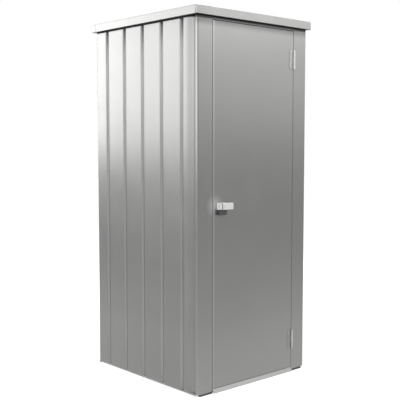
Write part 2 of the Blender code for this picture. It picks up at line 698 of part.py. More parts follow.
def hinge(word, level):
    """One external hinge: door leaf with the middle knuckle, frame leaf with the outer two, and a pin."""
    axis_y = -HINGE_STAND_OFF
    bottom = level - HINGE_HEIGHT / 2
    step = HINGE_HEIGHT / KNUCKLES
    front = -GAP - HINGE_LEAF
    back = -GAP
    bore = HINGE_PIN_RADIUS + RUNNING_FIT
    reach = KNUCKLE_RADIUS - GAP
    door_leaf = box("hinge_%s_door_leaf" % word, (HINGE_X - DOOR_LEAF_WIDTH, front, bottom),
                    (HINGE_X - KNUCKLE_RADIUS - GAP, back, bottom + HINGE_HEIGHT), CAST)
    frame_leaf = box("hinge_%s_frame_leaf" % word, (HINGE_X + KNUCKLE_RADIUS + GAP, front, bottom),
                     (HINGE_X + FRAME_LEAF_WIDTH, back, bottom + HINGE_HEIGHT), CAST)
    for index in range(KNUCKLES):
        low = bottom + index * step + GAP / 2
        high = bottom + (index + 1) * step - GAP / 2
        side = -1 if index == 1 else 1
        leaf = door_leaf if index == 1 else frame_leaf
        round_knuckle = circle((HINGE_X, axis_y), KNUCKLE_RADIUS, 24)
        tube = prism("knuckle_%s_%d" % (word, index), round_knuckle, "Z", low, high, CAST)
        ends = sorted((HINGE_X, HINGE_X + side * (KNUCKLE_RADIUS + HINGE_LEAF)))
        web = box("web_%s_%d" % (word, index), (ends[0], axis_y + reach - HINGE_LEAF, low), (ends[1], back, high), CAST)
        round_bore = circle((HINGE_X, axis_y), bore, 24)
        drill = prism("bore_%s_%d" % (word, index), round_bore, "Z", low - GAP / 3, high + GAP / 3, CAST)
        fuse(leaf, tube, web)
        carve(leaf, drill)
    prism("hinge_%s_pin" % word, circle((HINGE_X, axis_y), HINGE_PIN_RADIUS, 16), "Z", bottom, bottom + HINGE_HEIGHT,
          STEEL)
    return door_leaf


# Lock

def handle_base():
    """Metal block that the lever's neck turns in, over a dark shroud that reaches further down the door."""
    left = HANDLE_X - BASE_WIDTH / 2
    right = HANDLE_X + BASE_WIDTH / 2
    bottom = HANDLE_HEIGHT - BASE_BELOW
    block = rounded_box((left, bottom), (right, HANDLE_HEIGHT + BASE_ABOVE), LEVER_CORNER, lower=False)
    base = prism("handle_base", block, "Y", -BASE_DEPTH, -GAP, CAST)
    bore = hole("base_bore", (HANDLE_X, HANDLE_HEIGHT), NECK_RADIUS + RUNNING_FIT, -BASE_DEPTH - OVERRUN, OVERRUN)
    carve(base, bore)
    cover = rounded_box((left, HANDLE_HEIGHT - SHROUD_BELOW), (right, bottom - GAP), LEVER_CORNER, upper=False)
    return base, prism("handle_shroud", cover, "Y", -BASE_DEPTH, -GAP, PLASTIC)


def rounded_box(low, high, radius, lower=True, upper=True):
    """A rectangle with its lower and upper corners rounded or left square, as a closed outline."""
    outline = []
    corners = ((high[0], low[1], -90, lower), (high[0], high[1], 0, upper), (low[0], high[1], 90, upper),
               (low[0], low[1], 180, lower))
    for across, up, start, rounded in corners:
        if not rounded:
            outline.append((across, up))
            continue
        centre = (across - math.copysign(radius, across - (low[0] + high[0]) / 2),
                  up - math.copysign(radius, up - (low[1] + high[1]) / 2))
        outline += arc(centre, radius, start, start + 90, 5)
    return outline


def handle_lever():
    """Lever block with its round neck and spindle, bored for the key plug."""
    low = (HANDLE_X - LEVER_TAIL, HANDLE_HEIGHT - LEVER_HEIGHT / 2)
    high = (HANDLE_X + LEVER_REACH, HANDLE_HEIGHT + LEVER_HEIGHT / 2)
    back = -BASE_DEPTH - GAP
    front = back - LEVER_THICKNESS
    centre = (HANDLE_X, HANDLE_HEIGHT)
    lever = prism("handle_lever", rounded_box(low, high, LEVER_CORNER), "Y", front, back, CAST)
    soften = lever.modifiers.new("soft_edges", "BEVEL")
    soften.width = LEVER_EDGE
    soften.segments = 2
    soften.limit_method = "ANGLE"
    soften.angle_limit = math.radians(60)
    pinion_front = ROD_DEPTH + ROD_THICKNESS / 2 - PINION_THICKNESS / 2
    neck_end = pinion_front - GAP
    neck = prism("lever_neck", circle(centre, NECK_RADIUS), "Y", back - SHEET, neck_end, CAST)
    spindle = prism("lever_spindle", circle(centre, SPINDLE_RADIUS), "Y", back - SHEET,
                    pinion_front + PINION_THICKNESS + 2 * GAP, CAST)
    fuse(lever, neck, spindle)
    seat = hole("plug_seat", centre, PLUG_RADIUS + RUNNING_FIT, front - OVERRUN, front + PLUG_LENGTH + GAP)
    carve(lever, seat)
    plug = prism("lock_plug", circle(centre, PLUG_RADIUS), "Y", front, front + PLUG_LENGTH, BRASS)
    keyway = window("keyway", (HANDLE_X - KEYWAY_WIDTH / 2, front - OVERRUN, HANDLE_HEIGHT - KEYWAY_HEIGHT / 2),
                    (HANDLE_X + KEYWAY_WIDTH / 2, front + KEYWAY_DEPTH, HANDLE_HEIGHT + KEYWAY_HEIGHT / 2))
    carve(plug, keyway)
    return lever, plug


def involute(angle):
    return math.tan(angle) - angle


def pinion():
    """Twelve involute teeth round the spindle; a tooth points straight at each rack."""
    base = PITCH_RADIUS * math.cos(PRESSURE_ANGLE)
    root = PITCH_RADIUS - DEDENDUM
    tip = PITCH_RADIUS + ADDENDUM
    half_tooth = (TOOTH_PITCH - BACKLASH) / 4 / PITCH_RADIUS
    flank_steps = 3
    radii = [base + (tip - base) * step / flank_steps for step in range(flank_steps + 1)]
    halves = [half_tooth + involute(PRESSURE_ANGLE) - involute(math.acos(base / radius)) for radius in radii]
    outline = []
    for tooth in range(PINION_TEETH):
        middle = 2 * math.pi * tooth / PINION_TEETH
        rising = [(root, middle - halves[0])] + [(radius, middle - half) for radius, half in zip(radii, halves)]
        falling = [(radius, 2 * middle - angle) for radius, angle in reversed(rising)]
        outline += [(HANDLE_X + radius * math.cos(angle), HANDLE_HEIGHT + radius * math.sin(angle))
                    for radius, angle in rising + falling]
    front = ROD_DEPTH + ROD_THICKNESS / 2 - PINION_THICKNESS / 2
    gear = prism("lock_pinion", outline, "Y", front, front + PINION_THICKNESS, STEEL)
    return carve(gear, hole("pinion_bore", (HANDLE_X, HANDLE_HEIGHT), SPINDLE_RADIUS + RUNNING_FIT, front - OVERRUN,
                            front + PINION_THICKNESS + OVERRUN))


def rod(word, side, reach):
    """A flat locking rod with rack teeth cut on the edge that faces the pinion; side is -1 or 1."""
    up = 1 if reach > HANDLE_HEIGHT else -1
    slope = math.tan(PRESSURE_ANGLE)
    half = (TOOTH_PITCH - BACKLASH) / 4
    foot = half + DEDENDUM * slope
    crest = half - ADDENDUM * slope
    outline = []
    for index in range(-RACK_TEETH_BEHIND, RACK_TEETH_AHEAD):
        middle = (index + 0.5) * TOOTH_PITCH
        outline += [(ROD_INNER, middle - foot), (PITCH_RADIUS - ADDENDUM, middle - crest),
                    (PITCH_RADIUS - ADDENDUM, middle + crest), (ROD_INNER, middle + foot)]
    length = abs(reach - HANDLE_HEIGHT)
    tail = outline[0][1] - ROD_END_MARGIN
    outline += [(ROD_INNER, length - ROD_TIP), (ROD_INNER + ROD_TIP, length), (ROD_OUTER - ROD_TIP, length),
                (ROD_OUTER, length - ROD_TIP), (ROD_OUTER, tail), (ROD_INNER, tail)]
    placed = [(HANDLE_X + side * across, HANDLE_HEIGHT + up * along) for across, along in outline]
    return prism("locking_rod_" + word, placed, "Y", ROD_DEPTH, ROD_DEPTH + ROD_THICKNESS, STEEL)


def lock_plate():
    """Channel behind the door face that carries the spindle and guides the rods' backs."""
    cheek = ROD_OUTER + GAP + FRAME_SHEET
    back = SHEET + GAP
    corners = [(HANDLE_X - cheek, ROD_DEPTH + ROD_THICKNESS), (HANDLE_X - cheek, back), (HANDLE_X + cheek, back),
               (HANDLE_X + cheek, ROD_DEPTH + ROD_THICKNESS)]
    plate = prism("lock_plate", ribbon(bent(corners, BEND), FRAME_SHEET), "Z", HANDLE_HEIGHT - PLATE_HALF_HEIGHT,
                  HANDLE_HEIGHT + PLATE_HALF_HEIGHT, ZINC)
    return carve(plate, hole("plate_bore", (HANDLE_X, HANDLE_HEIGHT), NECK_RADIUS + GAP, 0, OVERRUN))


def rod_guides():
    """Plastic blocks on the door face that the rods slide through."""
    guides = []
    for word, side, reach in (("upper", -1, DOOR_TOP), ("lower", 1, DOOR_BOTTOM)):
        middle = HANDLE_X + side * (ROD_INNER + ROD_WIDTH / 2)
        for number, share in enumerate(GUIDE_SHARES, start=1):
            near = HANDLE_HEIGHT + math.copysign(PLATE_HALF_HEIGHT + GUIDE_HEIGHT, reach - HANDLE_HEIGHT)
            level = near + share * (reach - near)
            half = ROD_WIDTH / 2 + GAP
            block = box("rod_guide_%s_%d" % (word, number), (middle - half - GUIDE_WALL, SHEET + GAP, level),
                        (middle + half + GUIDE_WALL, ROD_DEPTH + ROD_THICKNESS + GUIDE_WALL, level + GUIDE_HEIGHT),
                        PLASTIC)
            slot = window("guide_slot_%s_%d" % (word, number), (middle - half, ROD_DEPTH - GAP, level - OVERRUN),
                          (middle + half, ROD_DEPTH + ROD_THICKNESS + GAP, level + GUIDE_HEIGHT + OVERRUN))
            guides.append(carve(block, slot))
    return guides


def door():
    """Everything that swings with the door, parented to empties on the joint axes."""
    swing = turning_parent("door_axis", (HINGE_X, FRONT_Y - HINGE_STAND_OFF, 0))
    carry(swing, door_skin(), *door_hats(), *tool_rail(), *handle_base(), lock_plate(), *rod_guides())
    for word, level in (("lower", DOOR_BOTTOM + HINGE_FROM_BOTTOM), ("upper", DOOR_TOP - HINGE_FROM_TOP)):
        carry(swing, hinge(word, level))
    lever, plug = handle_lever()
    turn = turning_parent("handle_axis", (HANDLE_X, FRONT_Y, HANDLE_HEIGHT), swing)
    carry(turn, lever, pinion())
    key = turning_parent("plug_axis", (HANDLE_X, FRONT_Y, HANDLE_HEIGHT), turn)
    carry(key, plug)
    rest = ROD_END_MARGIN + SHEET
    for word, side, reach in (("upper", -1, DOOR_TOP - rest), ("lower", 1, DOOR_BOTTOM + rest)):
        slide = turning_parent(word + "_rod_axis", (HANDLE_X, FRONT_Y, reach), swing)
        carry(slide, rod(word, side, reach))


base_rails()
feet()
floor_panel()
side_walls()
rear_wall()
posts()
head_strip()
lintel()
door_sill()
top_rails()
fascias()
roof_deck()
shelves()
door()
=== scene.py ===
# The looks of a patio storage cabinet: sheet-steel body, one door, flat roof. Metres, same frame as the CAD.

import json
import math

import bmesh
import bpy
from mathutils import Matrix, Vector


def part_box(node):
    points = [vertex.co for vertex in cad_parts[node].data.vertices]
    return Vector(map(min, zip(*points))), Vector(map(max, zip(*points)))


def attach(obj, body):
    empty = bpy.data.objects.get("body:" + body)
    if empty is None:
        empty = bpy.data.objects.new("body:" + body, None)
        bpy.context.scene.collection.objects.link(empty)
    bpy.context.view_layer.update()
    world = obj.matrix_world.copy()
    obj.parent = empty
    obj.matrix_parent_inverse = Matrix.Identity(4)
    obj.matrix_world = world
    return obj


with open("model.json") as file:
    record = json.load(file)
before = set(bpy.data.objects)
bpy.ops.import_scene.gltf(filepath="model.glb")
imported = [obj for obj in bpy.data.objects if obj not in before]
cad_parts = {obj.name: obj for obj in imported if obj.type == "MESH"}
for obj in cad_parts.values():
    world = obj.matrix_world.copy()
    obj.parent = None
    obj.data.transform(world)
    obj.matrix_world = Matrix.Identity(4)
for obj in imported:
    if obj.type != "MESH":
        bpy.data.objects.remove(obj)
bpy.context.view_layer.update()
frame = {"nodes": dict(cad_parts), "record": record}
nodes = frame["nodes"]
MM = 0.001

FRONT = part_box("door_skin")[0].y
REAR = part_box("wall_left")[1].y
DOOR_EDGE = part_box("door_skin")[0].x
HALF_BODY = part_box("wall_right")[1].x
WALL_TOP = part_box("wall_left")[1].z
FASCIA_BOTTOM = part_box("fascia_left")[0].z
SIDES = ((-1, "left"), (1, "right"))


# Node trees

MIX_SOCKETS = (0, 6, 7)
MIX_RESULT = 2
NOISE_RANGE = (0.3, 0.7)


class Shader:
    """A small helper that adds nodes and links to one material or world."""

    def __init__(self, owner):
        owner.use_nodes = True
        self.tree = owner.node_tree
        self.tree.nodes.clear()

    def add(self, kind, **settings):
        node = self.tree.nodes.new(kind)
        for name, value in settings.items():
            setattr(node, name, value)
        return node

    def link(self, source, target):
        self.tree.links.new(source, target)

    def feed(self, socket, value):
        """Set a socket to a number or a colour, or link another node's output to it."""
        if isinstance(value, (tuple, float)):
            socket.default_value = value
        else:
            self.link(value, socket)

    def noise(self, space, scale, detail=2.0):
        node = self.add("ShaderNodeTexNoise")
        node.inputs["Scale"].default_value = scale
        node.inputs["Detail"].default_value = detail
        self.link(space, node.inputs["Vector"])
        return node.outputs["Fac"]

    def cells(self, space, scale):
        """The red and green values of a Voronoi texture, each one the same all over a cell."""
        node = self.add("ShaderNodeTexVoronoi")
        node.inputs["Scale"].default_value = scale
        self.link(space, node.inputs["Vector"])
        parts = self.add("ShaderNodeSeparateColor")
        self.link(node.outputs["Color"], parts.inputs["Color"])
        return parts.outputs["Red"], parts.outputs["Green"]

    def spread(self, value, low, high, start=0.0, end=1.0):
        """Map the values from start to end to low and high, and hold these outside."""
        node = self.add("ShaderNodeMapRange")
        node.inputs["From Min"].default_value = start
        node.inputs["From Max"].default_value = end
        node.inputs["To Min"].default_value = low
        node.inputs["To Max"].default_value = high
        self.link(value, node.inputs["Value"])
        return node.outputs["Result"]

    def maths(self, operation, *values):
        node = self.add("ShaderNodeMath", operation=operation)
        for socket, value in zip(node.inputs, values):
            self.feed(socket, value)
        return node.outputs[0]

    def product(self, first, second):
        return self.maths("MULTIPLY", first, second)

    def band(self, value, rise, fall, peak=1.0):
        """Peak between rise and fall, which are the (start, end) of the two slopes, and nought outside."""
        return self.product(self.spread(value, 0.0, peak, *rise), self.spread(value, 1.0, 0.0, *fall))

    def varied(self, noise, low, high):
        """Noise mapped to low and high by the values that it mostly takes."""
        return self.spread(noise, low, high, *NOISE_RANGE)

    def mix(self, share, first, second):
        node = self.add("ShaderNodeMix", data_type="RGBA")
        for index, value in zip(MIX_SOCKETS, (share, first, second)):
            self.feed(node.inputs[index], value)
        return node.outputs[MIX_RESULT]

    def mottled(self, noise, first, second):
        return self.mix(self.varied(noise, 0.0, 1.0), first, second)

    def bump(self, height, strength, distance, before=None):
        node = self.add("ShaderNodeBump")
        node.inputs["Strength"].default_value = strength
        node.inputs["Distance"].default_value = distance
        self.link(height, node.inputs["Height"])
        if before:
            self.link(before, node.inputs["Normal"])
        return node.outputs["Normal"]

    def stretched(self, space, scale):
        node = self.add("ShaderNodeMapping")
        node.inputs["Scale"].default_value = scale
        self.link(space, node.inputs["Vector"])
        return node.outputs["Vector"]

    def along(self, vector, axis):
        node = self.add("ShaderNodeSeparateXYZ")
        self.link(vector, node.inputs["Vector"])
        return node.outputs[axis]

    def distance(self, space, place):
        node = self.add("ShaderNodeVectorMath", operation="DISTANCE")
        self.link(space, node.inputs[0])
        node.inputs[1].default_value = place
        return node.outputs["Value"]

    def object_space(self):
        return self.add("ShaderNodeTexCoord").outputs["Object"]

    def object_normal(self):
        return self.add("ShaderNodeTexCoord").outputs["Normal"]

    def surface(self, colour, roughness, normal, **fixed):
        shader = self.add("ShaderNodeBsdfPrincipled")
        for name, value in fixed.items():
            shader.inputs[name.replace("_", " ")].default_value = value
        for name, source in (("Base Color", colour), ("Roughness", roughness), ("Normal", normal)):
            self.link(source, shader.inputs[name])
        output = self.add("ShaderNodeOutputMaterial")
        self.link(shader.outputs["BSDF"], output.inputs["Surface"])


def new_material(name):
    made = bpy.data.materials.new(name)
    tree = Shader(made)
    return made, tree, tree.object_space()


def shade(colour, tone):
    """A colour made darker or lighter by a tone, which is a multiple of it."""
    return tuple(min(1.0, part * tone) for part in colour) + (1.0,)


def two_toned(tree, noise, colour, tones):
    """A colour that wanders between two tones of itself."""
    return tree.mottled(noise, shade(colour, tones[0]), shade(colour, tones[1]))


# Painted shade and painted light on the paint: their tones are multiples of the paint's colour, their heights
# are above the ground

PAINT_COLOUR = (0.1635, 0.1645, 0.1615)
# Near black colour of painted shade.
PAINTED_SHADE = shade(PAINT_COLOUR, 0.05)
# Pale colour of painted light and painted highlights.
PAINTED_LIGHT = shade(PAINT_COLOUR, 2.0)
# Pale colour of the painted reflection of the handle.
HANDLE_REFLECTION = shade(PAINT_COLOUR, 2.1)
SOFT_EDGE = 1 * MM


def painted_shade_below_roof(tree, space, top, reach, share, power):
    """Share of painted shade under the roof's edge, where the roof keeps light off; it fades out downwards.
    """
    height = tree.along(space, "Z")
    rise = tree.maths("POWER", tree.spread(height, 0.0, 1.0, top - reach, top), power)
    return tree.product(rise, tree.spread(height, share, 0.0, WALL_TOP, WALL_TOP + SOFT_EDGE))


def painted_floor_light(tree, space, share, top):
    """Painted light from the floor, strongest at the ground and fading out upwards."""
    return tree.spread(tree.along(space, "Z"), share, 0.0, 0.0, top)


FRONT_SHADE_TOP = WALL_TOP - 17 * MM
FRONT_SHADE_REACH = 24 * MM
FRONT_SHADE_SHARE = 0.43
FRONT_SHADE_POWER = 1.0
FRONT_FLOOR_LIGHT_SHARE = 0.32
FRONT_FLOOR_LIGHT_TOP = 500 * MM
EDGE_HIGHLIGHT_SHARE = 0.6
EDGE_HIGHLIGHT_RISE = (DOOR_EDGE - 0.5 * MM, DOOR_EDGE)
EDGE_HIGHLIGHT_FALL = (DOOR_EDGE + 4.5 * MM, DOOR_EDGE + 9 * MM)
HANDLE_REFLECTION_SPOT = (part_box("handle_base")[0].x - 14 * MM, FRONT, 903 * MM)
HANDLE_REFLECTION_CORE = 10 * MM
HANDLE_REFLECTION_REACH = 62 * MM
HANDLE_REFLECTION_POWER = 1.5


def front_film(tree, space, tint):
    """Painted shade under the roof's edge above the door, painted light from the floor low down, a painted
    highlight on the door's left edge and a painted reflection of the handle beside it.
    """
    above = painted_shade_below_roof(tree, space, FRONT_SHADE_TOP, FRONT_SHADE_REACH, FRONT_SHADE_SHARE, FRONT_SHADE_POWER)
    # Painted shade under the roof's edge.
    tint = tree.mix(above, tint, PAINTED_SHADE)
    # Painted light from the floor, paler towards the ground.
    tint = tree.mix(painted_floor_light(tree, space, FRONT_FLOOR_LIGHT_SHARE, FRONT_FLOOR_LIGHT_TOP), tint, PAINTED_LIGHT)
    # Painted highlight on the door's rounded left edge.
    edge_highlight = tree.band(tree.along(space, "X"), EDGE_HIGHLIGHT_RISE, EDGE_HIGHLIGHT_FALL, EDGE_HIGHLIGHT_SHARE)
    tint = tree.mix(edge_highlight, tint, PAINTED_LIGHT)
    # Painted reflection of the handle's bright end on the door and post beside it.
    near = tree.spread(tree.distance(space, HANDLE_REFLECTION_SPOT), 1.0, 0.0, HANDLE_REFLECTION_CORE, HANDLE_REFLECTION_REACH)
    return tree.mix(tree.maths("POWER", near, HANDLE_REFLECTION_POWER), tint, HANDLE_REFLECTION)


GROOVES_START = (FRONT + 90 * MM, FRONT + 92 * MM)
GROOVE_DEPTH = 9 * MM
GROOVE_SHADE_REACH = 150 * MM
GROOVE_SHADE_POWER = 1.6
FLAT_SHADE_SHARE = 0.1
RECESS_FALL_SHARES = (0.1, 0.9)
WALL_MID_SHADE_SHARE = 0.15
WALL_MID_SHADE_RISE = (250 * MM, 500 * MM)
WALL_MID_SHADE_FALL = (600 * MM, 850 * MM)
GROOVE_FLOOR_SHADE_SHARE = 0.15
GROOVE_FLOOR_FALL_SHARES = (0.02, 0.2)
GROOVE_FLOOR_RISE = (900 * MM, 1200 * MM)
FLANK_RISE_SHARES = (0.05, 0.2)
FLANK_FALL_SHARES = (0.8, 0.95)
FLANK_LOW_SHARE = 0.45
FLANK_HIGH_SHARE = 0.28
FLANK_LIGHT_STEP = (1100 * MM, 1350 * MM)
FLANK_LIGHT_FALL = (1550 * MM, 1720 * MM)


def groove_places(shares):
    """Places across the cabinet, as shares of the way from a groove's floor out to the wall's face."""
    return [HALF_BODY - GROOVE_DEPTH + share * GROOVE_DEPTH for share in shares]


def wall_film(tree, space, tint):
    """Painted shade in the grooves under the roof, faint on the flats, at mid height and in the grooves'
    floors, and painted light on the grooves' flanks.
    """
    across = tree.maths("ABSOLUTE", tree.along(space, "X"))
    height = tree.along(space, "Z")
    grooved = tree.spread(tree.along(space, "Y"), 0.0, 1.0, *GROOVES_START)

    # Painted shade in the grooves' tops under the roof, faint on the flats. The rear wall lies further in
    # than the side grooves' floors, so it takes the grooves' painted shade all over.
    recess = tree.product(grooved, tree.spread(across, 1.0, 0.0, *groove_places(RECESS_FALL_SHARES)))
    dark = painted_shade_below_roof(tree, space, WALL_TOP, GROOVE_SHADE_REACH, 1.0, GROOVE_SHADE_POWER)
    tint = tree.mix(tree.product(dark, tree.spread(recess, FLAT_SHADE_SHARE, 1.0)), tint, PAINTED_SHADE)

    # Painted shade at mid height.
    mid_shade = tree.band(height, WALL_MID_SHADE_RISE, WALL_MID_SHADE_FALL, WALL_MID_SHADE_SHARE)
    tint = tree.mix(tree.product(grooved, mid_shade), tint, PAINTED_SHADE)

    # Painted shade in the grooves' floors, growing upwards from 0.9 m.
    deepest = tree.spread(across, GROOVE_FLOOR_SHADE_SHARE, 0.0, *groove_places(GROOVE_FLOOR_FALL_SHARES))
    deepest = tree.product(deepest, tree.spread(height, 0.0, 1.0, *GROOVE_FLOOR_RISE))
    tint = tree.mix(tree.product(grooved, deepest), tint, PAINTED_SHADE)

    # Painted light on the grooves' flanks, stronger low down, gone near the roof.
    flank = tree.band(across, groove_places(FLANK_RISE_SHARES), groove_places(FLANK_FALL_SHARES))
    pale = tree.product(tree.spread(height, FLANK_LOW_SHARE, FLANK_HIGH_SHARE, *FLANK_LIGHT_STEP),
                        tree.spread(height, 1.0, 0.0, *FLANK_LIGHT_FALL))
    return tree.mix(tree.product(grooved, tree.product(flank, pale)), tint, PAINTED_LIGHT)


HEAD_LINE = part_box("head_strip")[0].z + 2.5 * MM
HEAD_LINE_LIFT = 2 * MM
HEAD_LIFT_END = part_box("door_skin")[1].x + 5.8 * MM
HEAD_SHADE_SHARE = 0.68
HEAD_SHADE = (0.006, 0.006, 0.006, 1.0)


def head_film(tree, space, tint):
    """Painted shade: the posts' paint darkened low down and near black above, where the roof shades it; the
    line lies higher over the door.
    """
    across = tree.maths("ABSOLUTE", tree.along(space, "X"))
    lift = tree.spread(across, HEAD_LINE_LIFT, 0.0, HEAD_LIFT_END - SOFT_EDGE, HEAD_LIFT_END + SOFT_EDGE)
    level = tree.maths("SUBTRACT", tree.along(space, "Z"), lift)
    shaded = tree.spread(level, 0.0, 1.0, HEAD_LINE - SOFT_EDGE, HEAD_LINE + SOFT_EDGE)
    return tree.mix(shaded, tree.mix(HEAD_SHADE_SHARE, tint, PAINTED_SHADE), HEAD_SHADE)


ROOF_SHADE_SHARE = 0.9
FACING_DOWN = (-0.9, -0.5)


def roof_film(tree, space, tint):
    """Painted shade on the faces that look down."""
    facing = tree.along(tree.add("ShaderNodeNewGeometry").outputs["Normal"], "Z")
    return tree.mix(tree.spread(facing, ROOF_SHADE_SHARE, 0.0, *FACING_DOWN), tint, PAINTED_SHADE)


# Materials

FLOOR_LIGHT_SHARE = 0.35
FLOOR_LIGHT_TOP = 350 * MM
PATCH_TONES = (0.975, 1.02)
FLECK_TONE = 1.45
FLECK_SHARE = 0.16


def painted_sheet(name, film=None):
    """Metallic powder coat: fine flakes, soft orange peel, faint patches and painted light from the floor,
    paler low down.
    """
    made, tree, space = new_material(name)
    bright, tilt = tree.cells(space, scale=1400.0)
    tint = two_toned(tree, tree.noise(space, scale=2.2, detail=3.0), PAINT_COLOUR, PATCH_TONES)
    tint = tree.mix(tree.spread(bright, 0.0, FLECK_SHARE), tint, shade(PAINT_COLOUR, FLECK_TONE))
    # Painted light from the floor, paler towards the ground.
    tint = tree.mix(painted_floor_light(tree, space, FLOOR_LIGHT_SHARE, FLOOR_LIGHT_TOP), tint, PAINTED_LIGHT)
    if film:
        tint = film(tree, space, tint)
    rough = tree.varied(tree.noise(space, scale=9.0, detail=4.0), low=0.28, high=0.33)
    peel = tree.bump(tree.noise(space, scale=190.0, detail=1.0), strength=0.10, distance=0.15 * MM)
    sparkle = tree.bump(tilt, strength=0.12, distance=0.03 * MM, before=peel)
    tree.surface(tint, rough, sparkle, Metallic=0.7)
    return made


ZINC_DARK = (0.44, 0.455, 0.47, 1.0)
ZINC_PALE = (0.60, 0.615, 0.63, 1.0)
ZINC_FINE = (0.50, 0.51, 0.52, 1.0)
ZINC_FINE_RANGE = (0.35, 0.65)
ZINC_FINE_SHARE = 0.35


def galvanised():
    """Zinc-coated sheet with its crystal pattern and a dull, slightly mottled sheen."""
    made, tree, space = new_material("zinc_coat")
    pattern, sheen = tree.cells(space, scale=95.0)
    fine = tree.noise(space, scale=420.0, detail=3.0)
    tint = tree.mix(pattern, ZINC_DARK, ZINC_PALE)
    tint = tree.mix(tree.spread(fine, 0.0, ZINC_FINE_SHARE, *ZINC_FINE_RANGE), tint, ZINC_FINE)
    rough = tree.spread(sheen, low=0.34, high=0.55)
    tree.surface(tint, rough, tree.bump(fine, strength=0.15, distance=0.1 * MM), Metallic=0.7)
    return made


METAL_TONES = (0.93, 1.05)


def grained_metal(name, colour, grain, rough, metallic):
    """Machined, plated or weathered metal with a fine grain, which is stretched where its scales differ."""
    made, tree, space = new_material(name)
    streaks = tree.noise(tree.stretched(space, grain), scale=1.0, detail=3.0)
    cloud = tree.noise(space, scale=60.0)
    tint = two_toned(tree, streaks, colour, METAL_TONES)
    relief = tree.bump(streaks, strength=0.12, distance=0.05 * MM)
    tree.surface(tint, tree.varied(cloud, *rough), relief, Metallic=metallic)
    return made


SILL_COLOUR = (0.30, 0.30, 0.295)
SILL_TONES = (0.96, 1.03)


def sill_sheet():
    """Plain zinc sheet of the sill: an even, pale satin grey."""
    made, tree, space = new_material("sill_sheet")
    cloud = tree.noise(space, scale=14.0, detail=3.0)
    fine = tree.noise(space, scale=420.0, detail=3.0)
    tint = two_toned(tree, cloud, SILL_COLOUR, SILL_TONES)
    rough = tree.varied(cloud, low=0.40, high=0.48)
    tree.surface(tint, rough, tree.bump(fine, strength=0.10, distance=0.1 * MM), Metallic=0.7)
    return made


def satin_sheen(tree, space, tint, metallic):
    """Even satin sheen of the lever and the hinges."""
    cloud = tree.noise(space, scale=60.0)
    rough = tree.varied(cloud, low=0.36, high=0.44)
    tree.surface(tint, rough, tree.bump(cloud, strength=0.1, distance=0.05 * MM), Metallic=metallic)


LEVER_COLOUR = (0.62, 0.62, 0.61, 1.0)
LEVER_END_HIGHLIGHT = (0.92, 0.92, 0.91, 1.0)
LEVER_JOINT_COLOUR = (0.05, 0.05, 0.05, 1.0)
LEVER_JOINT_SHARE = 0.92
LEVER_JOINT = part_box("handle_lever")[0].x + 2.5 * MM
LEVER_JOINT_WIDTH = 5 * MM
LEVER_JOINT_EDGE = 0.5 * MM
LEVER_FACING = (-0.9, -0.5)


def lever_aluminium():
    """Satin lever: a painted highlight on its end towards the near corner, and the thin dark joint of its end
    cap.
    """
    made, tree, space = new_material("satin_lever_metal")
    # Painted highlight on the faces that look towards the near corner.
    end = tree.spread(tree.along(tree.object_normal(), "X"), 1.0, 0.0, *LEVER_FACING)
    tint = tree.mix(end, LEVER_COLOUR, LEVER_END_HIGHLIGHT)
    rise = (LEVER_JOINT, LEVER_JOINT + LEVER_JOINT_EDGE)
    fall = (LEVER_JOINT + LEVER_JOINT_WIDTH, LEVER_JOINT + LEVER_JOINT_WIDTH + LEVER_JOINT_EDGE)
    joint = tree.band(tree.along(space, "X"), rise, fall, LEVER_JOINT_SHARE)
    satin_sheen(tree, space, tree.mix(joint, tint, LEVER_JOINT_COLOUR), metallic=0.2)
    return made


HINGE_LEAF_COLOUR = (0.25, 0.25, 0.245, 1.0)
HINGE_EDGE_HIGHLIGHT = (0.62, 0.62, 0.61, 1.0)
HINGE_KNUCKLE_HIGHLIGHT = (0.44, 0.44, 0.435, 1.0)
HINGE_FACING = (-0.95, -0.6)
KNUCKLE_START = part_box("hinge_upper_frame_leaf")[0].x - 1 * MM


def hinge_steel():
    """Plated hinge: painted highlights on the knuckles and on the leaves' edges that face the near corner,
    which make them brighter than the leaves.
    """
    made, tree, space = new_material("hinge_plating")
    # Painted highlight on the leaves' edges that look towards the near corner.
    edge = tree.spread(tree.along(tree.object_normal(), "X"), 1.0, 0.0, *HINGE_FACING)
    tint = tree.mix(edge, HINGE_LEAF_COLOUR, HINGE_EDGE_HIGHLIGHT)
    # Painted highlight on the knuckles.
    knuckle = tree.spread(tree.along(space, "X"), 0.0, 1.0, KNUCKLE_START, KNUCKLE_START + SOFT_EDGE)
    satin_sheen(tree, space, tree.mix(knuckle, tint, HINGE_KNUCKLE_HIGHLIGHT), metallic=0.5)
    return made


PLASTIC_DARK = (0.036, 0.036, 0.038, 1.0)
PLASTIC_PALE = (0.052, 0.052, 0.054, 1.0)


def moulded_plastic():
    """Dark moulded plastic with an eroded fine grain."""
    made, tree, space = new_material("moulded_dark_plastic")
    grain = tree.noise(space, scale=1300.0)
    cloud = tree.noise(space, scale=35.0)
    tint = tree.mottled(cloud, PLASTIC_DARK, PLASTIC_PALE)
    rough = tree.varied(cloud, low=0.48, high=0.60)
    tree.surface(tint, rough, tree.bump(grain, strength=0.35, distance=0.12 * MM), Metallic=0.0)
    return made


RUBBER_DARK = (0.026, 0.026, 0.028, 1.0)
RUBBER_PALE = (0.036, 0.036, 0.038, 1.0)


def rubber():
    """Dull black rubber of the strip under the roof, whose dark colour stands in for the shade in the gap
    there.
    """
    made, tree, space = new_material("shade_strip_rubber")
    cloud = tree.noise(space, scale=50.0)
    tint = tree.mottled(cloud, RUBBER_DARK, RUBBER_PALE)
    rough = tree.varied(cloud, low=0.75, high=0.85)
    relief = tree.bump(cloud, strength=0.2, distance=0.1 * MM)
    tree.surface(tint, rough, relief, Metallic=0.0, Specular_IOR_Level=0.12)
    return made


